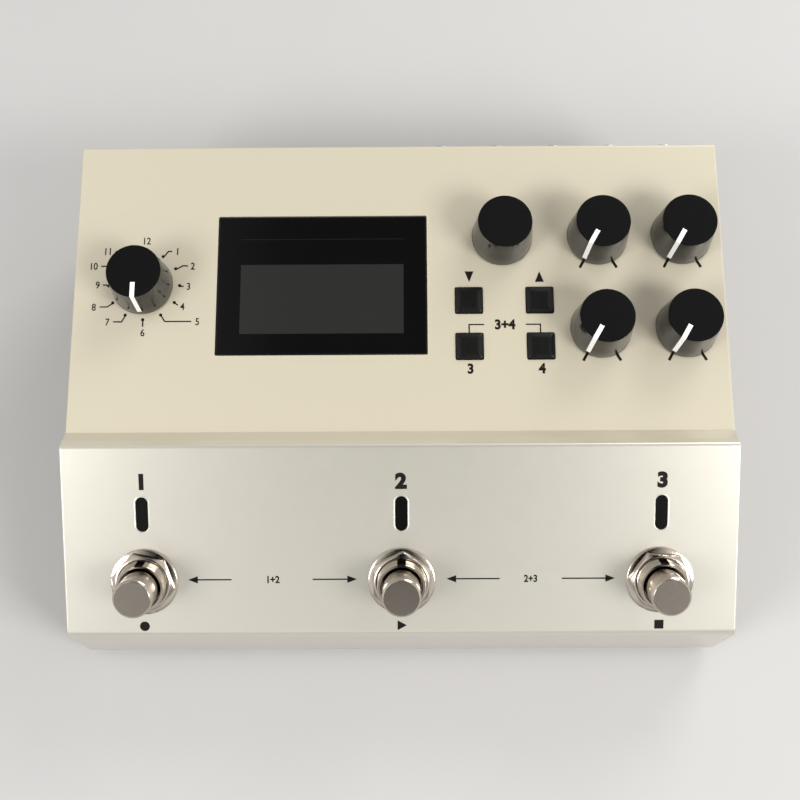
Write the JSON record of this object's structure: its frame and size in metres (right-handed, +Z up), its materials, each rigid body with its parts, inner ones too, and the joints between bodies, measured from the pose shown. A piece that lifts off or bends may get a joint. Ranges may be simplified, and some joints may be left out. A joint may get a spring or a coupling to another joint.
{
  "type": "digital delay pedal",
  "caption": "Floor delay effects pedal with two sloped panels, display window, knobs, push buttons, footswitches and rear sockets.",
  "frame": {"origin": "middle of the bounding box's underside, on the floor under the feet", "axes": "+X to the player's right, +Y to the rear where the sockets are, +Z up"},
  "size_m": [0.17, 0.138, 0.062],
  "materials": {
    "case_paint": "fine metallic powder coat, cream above and silver below",
    "plate_paint": "satin black",
    "zinc": "bright zinc",
    "rubber": "matt",
    "tray_plastic": "moulded",
    "cell_sleeve": "printed sleeve, left plain",
    "spring_steel": "nickel plated",
    "board": "solder mask",
    "window": "gloss black border round a clear view",
    "display": "dark unlit display glass",
    "knob": "gloss side, fine matt top",
    "cap": "satin black",
    "control_metal": "plain",
    "nickel": "nickel plated",
    "lens": "smoked light pipe",
    "socket": "moulded black"
  },
  "bodies": {
    "case": {"case_top": "case_paint", "bottom_plate": "plate_paint", "bottom_screws": "zinc", "rubber_feet": "rubber", "battery_tray": "tray_plastic", "battery_contacts": "spring_steel", "battery_cells": "cell_sleeve", "panel_board": "board", "light_board": "board", "main_board": "board", "jack_board": "board", "board_standoffs": "zinc", "board_screws": "zinc", "display_window": "window", "display_glass": "display", "display_frame": "control_metal", "potentiometers": "control_metal", "value_encoder": "control_metal", "mode_switch": "control_metal", "control_nuts": "zinc", "tact_switches": "socket", "light_lenses": "lens", "footswitch_washers": "nickel", "footswitch_nuts": "nickel", "footswitch_springs": "spring_steel", "jack_nuts": "nickel", "midi_in_socket": "socket", "midi_out_socket": "socket", "usb_socket": "control_metal", "power_inlet": "socket", "power_switch": "socket", "footswitch_left": "nickel", "footswitch_middle": "nickel", "footswitch_right": "nickel", "jack_input_a": "socket", "jack_input_b": "socket", "jack_output_a": "socket", "jack_output_b": "socket", "jack_control": "socket"},
    "feedback_control": {"feedback_knob": "knob", "feedback_shaft": "control_metal"},
    "effect_level_control": {"effect_level_knob": "knob", "effect_level_shaft": "control_metal"},
    "tone_control": {"tone_knob": "knob", "tone_shaft": "control_metal"},
    "mod_depth_control": {"mod_depth_knob": "knob", "mod_depth_shaft": "control_metal"},
    "value_control": {"value_knob": "knob", "value_shaft": "control_metal"},
    "mode_control": {"mode_knob": "knob", "mode_shaft": "control_metal"},
    "down_key": {"down_button": "cap"},
    "up_key": {"up_button": "cap"},
    "exit_key": {"exit_button": "cap"},
    "edit_key": {"edit_button": "cap"},
    "left_stomp": {"plunger_left": "nickel"},
    "middle_stomp": {"plunger_middle": "nickel"},
    "right_stomp": {"plunger_right": "nickel"},
    "power_key": {"power_button": "cap"},
    "battery_door": {"battery_cover": "tray_plastic"}
  },
  "joints": [
    {"name": "feedback_turn", "type": "hinge", "parent": "case", "child": "feedback_control", "pos_m": [0.0517, 0.03188, 0.04982], "axis": [0, 0.0755, -0.9971], "range_deg": [0, 300]},
    {"name": "effect_level_turn", "type": "hinge", "parent": "case", "child": "effect_level_control", "pos_m": [0.0735, 0.03188, 0.04982], "axis": [0, 0.0755, -0.9971], "range_deg": [0, 300]},
    {"name": "tone_turn", "type": "hinge", "parent": "case", "child": "tone_control", "pos_m": [0.0517, 0.00695, 0.04793], "axis": [0, 0.0755, -0.9971], "range_deg": [0, 300]},
    {"name": "mod_depth_turn", "type": "hinge", "parent": "case", "child": "mod_depth_control", "pos_m": [0.0735, 0.00695, 0.04793], "axis": [0, 0.0755, -0.9971], "range_deg": [0, 300]},
    {"name": "value_turn", "type": "hinge", "parent": "case", "child": "value_control", "pos_m": [0.0269, 0.03188, 0.04982], "axis": [0, 0.0755, -0.9971], "continuous": true},
    {"name": "mode_turn", "type": "hinge", "parent": "case", "child": "mode_control", "pos_m": [-0.06645, 0.01921, 0.04886], "axis": [0, 0.0755, -0.9971], "continuous": true},
    {"name": "down_press", "type": "slide", "parent": "case", "child": "down_key", "axis": [0, 0.0755, -0.9971], "range_m": [0, 0.0003], "stiffness_N_per_m": 1000, "springref_m": -0.0004},
    {"name": "up_press", "type": "slide", "parent": "case", "child": "up_key", "axis": [0, 0.0755, -0.9971], "range_m": [0, 0.0003], "stiffness_N_per_m": 1000, "springref_m": -0.0004},
    {"name": "exit_press", "type": "slide", "parent": "case", "child": "exit_key", "axis": [0, 0.0755, -0.9971], "range_m": [0, 0.0003], "stiffness_N_per_m": 1000, "springref_m": -0.0004},
    {"name": "edit_press", "type": "slide", "parent": "case", "child": "edit_key", "axis": [0, 0.0755, -0.9971], "range_m": [0, 0.0003], "stiffness_N_per_m": 1000, "springref_m": -0.0004},
    {"name": "left_stomp_press", "type": "slide", "parent": "case", "child": "left_stomp", "axis": [0, 0.4462, -0.8949], "range_m": [0, 0.003], "stiffness_N_per_m": 1500, "springref_m": -0.0015, "deforming": ["footswitch_springs"]},
    {"name": "middle_stomp_press", "type": "slide", "parent": "case", "child": "middle_stomp", "axis": [0, 0.4462, -0.8949], "range_m": [0, 0.003], "stiffness_N_per_m": 1500, "springref_m": -0.0015, "deforming": ["footswitch_springs"]},
    {"name": "right_stomp_press", "type": "slide", "parent": "case", "child": "right_stomp", "axis": [0, 0.4462, -0.8949], "range_m": [0, 0.003], "stiffness_N_per_m": 1500, "springref_m": -0.0015, "deforming": ["footswitch_springs"]},
    {"name": "power_press", "type": "slide", "parent": "case", "child": "power_key", "axis": [0, -1, 0], "range_m": [0, 0.003], "stiffness_N_per_m": 800, "springref_m": -0.001},
    {"name": "battery_cover_slide", "type": "slide", "parent": "case", "child": "battery_door", "axis": [0, -1, 0], "range_m": [0, 0.008]}
  ]
}
